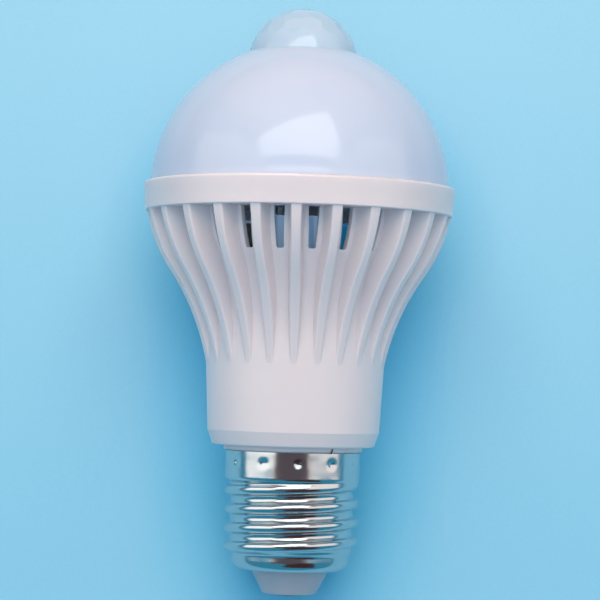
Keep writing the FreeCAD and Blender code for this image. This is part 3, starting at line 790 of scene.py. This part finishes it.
# %% The drawn cup
foot_height, foot_radius, corner_radius = 4.95 * MM, 11.45 * MM, 2.0 * MM
hole_radius = 7.65 * MM
skirt_start, skirt_top, skirt_radius = 22.8 * MM, 27.9 * MM, 13.15 * MM
thread_start = 7.9 * MM
sheet_thickness = 0.3 * MM
foot_cuts, corner_steps, wall_cuts, thread_cuts, skirt_cuts = 3, 8, 4, 98, 19
around_shell = 240
same_point = 0.001 * MM

shell_form = bmesh.new()
rim_point = shell_form.verts.new((hole_radius, 0, foot_height))
corner_start = shell_form.verts.new((foot_radius - corner_radius, 0, foot_height))
first_line = shell_form.edges.new((rim_point, corner_start))
bmesh.ops.subdivide_edges(shell_form, edges=[first_line], cuts=foot_cuts)
bmesh.ops.spin(
    shell_form,
    geom=[max(shell_form.verts, key=lambda v: v.co.x)],
    cent=(foot_radius - corner_radius, 0, foot_height + corner_radius),
    axis=(0, 1, 0),
    angle=-math.pi / 2,
    steps=corner_steps,
)
stretches = ((thread_start, wall_cuts), (skirt_start, thread_cuts), (skirt_top, skirt_cuts))
for stop, cuts in stretches:
    last_point = max(shell_form.verts, key=lambda v: v.co.z)
    next_point = shell_form.verts.new((foot_radius, 0, stop))
    stretch = shell_form.edges.new((last_point, next_point))
    bmesh.ops.subdivide_edges(shell_form, edges=[stretch], cuts=cuts)
bmesh.ops.spin(
    shell_form,
    geom=shell_form.verts[:] + shell_form.edges[:],
    cent=(0, 0, 0),
    axis=(0, 0, 1),
    angle=2 * math.pi,
    steps=around_shell,
    use_merge=True,
)
bmesh.ops.remove_doubles(shell_form, verts=shell_form.verts, dist=same_point)
print("drawn cup:", len(shell_form.verts), "points,", len(shell_form.faces), "faces")

# %% Rolling the thread
crest, root, pitch, crest_height = 13.07 * MM, 11.97 * MM, 3.629 * MM, 14.6 * MM
run_in, run_out = 0.9 * MM, 1.5 * MM
thread_depth = crest - root
arc = (pitch ** 2 / 4 + thread_depth ** 2) / (4 * thread_depth)


def smooth_step(t):
    """Eases from 0 to 1, with no corner at either end."""
    t = min(1.0, max(0.0, t))
    return t * t * (3 - 2 * t)


def thread_radius(angle, height):
    """The radius of the rolled thread in metres: tangent arcs at its crest and root."""
    along = (height - crest_height) / pitch - angle / (2 * math.pi)
    along = abs(along - round(along)) * pitch
    if along < pitch / 4:
        wave = crest - arc + math.sqrt(arc ** 2 - along ** 2)
    else:
        wave = root + arc - math.sqrt(arc ** 2 - (pitch / 2 - along) ** 2)
    low = smooth_step((height - thread_start) / run_in)
    high = smooth_step((skirt_start - height) / run_out)
    return skirt_radius * (1 - high) + (foot_radius * (1 - low) + wave * low) * high


for point in shell_form.verts:
    if point.co.z > thread_start:
        turned_by = math.atan2(point.co.y, point.co.x)
        reach_now = math.hypot(point.co.x, point.co.y)
        wanted = thread_radius(turned_by, point.co.z)
        point.co.x *= wanted / reach_now
        point.co.y *= wanted / reach_now
print("thread rolled from", round(thread_start / MM, 1), "to", round(skirt_start / MM, 1), "mm")

# %% Crimping the skirt
crimps, crimp_height, first_crimp = 12, 25.8 * MM, 6.0
crimp_depth, crimp_reach = 0.32 * MM, 0.62 * MM
front_angle = -90
deepest = 0.0
for point in shell_form.verts:
    if point.co.z < skirt_start:
        continue
    turned_by = math.degrees(math.atan2(point.co.y, point.co.x)) - first_crimp - front_angle
    aside = (turned_by + 180 / crimps) % (360 / crimps) - 180 / crimps
    off = math.hypot(math.radians(aside) * skirt_radius, point.co.z - crimp_height)
    dent = crimp_depth * math.exp(-(off / crimp_reach) ** 2)
    deepest = max(deepest, dent)
    point.co.x *= 1 - dent / skirt_radius
    point.co.y *= 1 - dent / skirt_radius
print(crimps, "dents, the deepest point in mm:", round(deepest / MM, 2))

# %% From sheet to shell
sharp_from = math.radians(60)
bmesh.ops.recalc_face_normals(shell_form, faces=shell_form.faces)
bmesh.ops.solidify(shell_form, geom=shell_form.faces[:], thickness=sheet_thickness)
bmesh.ops.recalc_face_normals(shell_form, faces=shell_form.faces)
shell_mesh = bpy.data.meshes.new("rolled_shell")
shell_form.to_mesh(shell_mesh)
shell_form.free()
shell_mesh.shade_smooth()
shell_mesh.set_sharp_from_angle(angle=sharp_from)
shell_mesh.materials.append(looks["nickel_plate"])
rolled_shell = bpy.data.objects.new("rolled_shell", shell_mesh)
bpy.context.scene.collection.objects.link(rolled_shell)
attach(rolled_shell, "root")
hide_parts("screw_shell")
widest = max(math.hypot(v.co.x, v.co.y) for v in shell_mesh.vertices)
print("rolled shell:", 2 * len(shell_mesh.polygons), "triangles")
print("widest radius in mm:", round(widest / MM, 3))

# %% [markdown]
# ## The end of the side lead
#
# The lead to the shell isn't soldered on the outside. It is bent over the plastic neck,
# and the crimped shell pinches it there. Its cut end often stands out of the joint, as
# a thin dark sliver across the neck ring. It is a small ring of points, pulled along
# and narrowed towards its tip.

# %% The pinched wire end
wire_radius, wire_sides = 0.19 * MM, 10
wire_turn = math.radians(34.2)
tip_offset = (0.62 * MM, 0, 0.95 * MM)
tip_narrowing = (0.7, 0.7, 1)
wire_foot = (-0.2 * MM, -13.56 * MM, 27.86 * MM)

wire_form = bmesh.new()
bmesh.ops.create_circle(wire_form, cap_ends=True, radius=wire_radius, segments=wire_sides)
grown = bmesh.ops.extrude_face_region(wire_form, geom=wire_form.faces[:])["geom"]
end_points = [part for part in grown if isinstance(part, bmesh.types.BMVert)]
bmesh.ops.translate(wire_form, verts=end_points, vec=tip_offset)
bmesh.ops.scale(wire_form, verts=end_points, vec=tip_narrowing)
bmesh.ops.recalc_face_normals(wire_form, faces=wire_form.faces)
stand = Matrix.Rotation(wire_turn, 4, "Z") @ Matrix.Translation(wire_foot)
bmesh.ops.transform(wire_form, matrix=stand, verts=wire_form.verts)
wire_mesh = bpy.data.meshes.new("pinched_wire_end")
wire_form.to_mesh(wire_mesh)
wire_form.free()
wire_mesh.materials.append(looks["wire_cut"])
wire_end = bpy.data.objects.new("pinched_wire_end", wire_mesh)
bpy.context.scene.collection.objects.link(wire_end)
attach(wire_end, "root")
print("wire end starts at mm:", in_mm(wire_mesh.vertices[0].co, 2))

# %% [markdown]
# ## The end
#
# The plain view transform keeps the colours as they were set.

# %% Plain view settings
bpy.context.scene.view_settings.view_transform = "Standard"
print("view transform:", bpy.context.scene.view_settings.view_transform)
